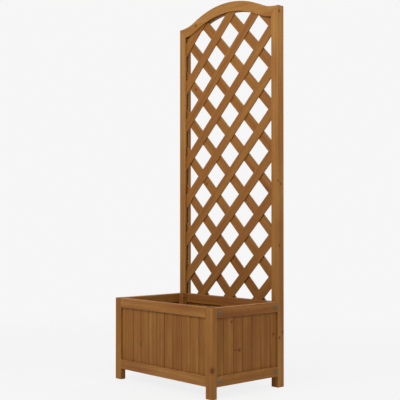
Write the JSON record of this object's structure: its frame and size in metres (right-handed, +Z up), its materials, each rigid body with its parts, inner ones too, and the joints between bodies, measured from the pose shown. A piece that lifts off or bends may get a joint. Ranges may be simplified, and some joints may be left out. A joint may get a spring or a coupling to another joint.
{
  "type": "planter with trellis",
  "caption": "Rectangular wooden planter box on short legs, with two tall rear posts that carry an arched rail and a diagonal lattice for climbing plants.",
  "frame": {"origin": "on the ground, under the middle of the planter's outside size in X and Y", "axes": "+Z up, +Y from the open front of the box towards the trellis at the back, X along the width"},
  "size_m": [0.6444, 0.42, 1.703],
  "materials": {
    "frame_timber": "brown stain, satin",
    "boards": "brown stain, satin",
    "laths": "brown stain, satin",
    "inner_timber": "brown stain, satin",
    "bolts": "zinc plated",
    "inserts": "zinc plated",
    "screws": "yellow zinc plated",
    "brads": "bright",
    "dowels": "bare beech"
  },
  "bodies": {
    "root": {"arch_rail": "frame_timber", "cleat_screws": "screws", "corner_cleat_front_left": "inner_timber", "corner_cleat_front_right": "inner_timber", "corner_cleat_rear_left": "inner_timber", "corner_cleat_rear_right": "inner_timber", "floor_ledger_front": "inner_timber", "floor_ledger_rear": "inner_timber", "floor_slat_1": "inner_timber", "floor_slat_2": "inner_timber", "floor_slat_3": "inner_timber", "floor_slat_4": "inner_timber", "floor_slat_5": "inner_timber", "floor_slat_6": "inner_timber", "floor_slat_7": "inner_timber", "frame_dowels": "dowels", "front_boards": "boards", "front_bottom_rail": "frame_timber", "front_lath_1": "laths", "front_lath_10": "laths", "front_lath_2": "laths", "front_lath_3": "laths", "front_lath_4": "laths", "front_lath_5": "laths", "front_lath_6": "laths", "front_lath_7": "laths", "front_lath_8": "laths", "front_lath_9": "laths", "front_leg_left": "frame_timber", "front_leg_right": "frame_timber", "front_top_rail": "frame_timber", "lattice_brads": "brads", "ledger_screws": "screws", "left_side_boards": "boards", "left_side_bottom_rail": "frame_timber", "left_side_top_rail": "frame_timber", "rear_boards": "boards", "rear_bottom_rail": "frame_timber", "rear_lath_1": "laths", "rear_lath_10": "laths", "rear_lath_2": "laths", "rear_lath_3": "laths", "rear_lath_4": "laths", "rear_lath_5": "laths", "rear_lath_6": "laths", "rear_lath_7": "laths", "rear_lath_8": "laths", "rear_lath_9": "laths", "rear_post_left": "frame_timber", "rear_post_right": "frame_timber", "rear_top_rail": "frame_timber", "right_side_boards": "boards", "right_side_bottom_rail": "frame_timber", "right_side_top_rail": "frame_timber", "side_bolts": "bolts", "slat_screws": "screws", "threaded_inserts": "inserts"}
  },
  "joints": []
}
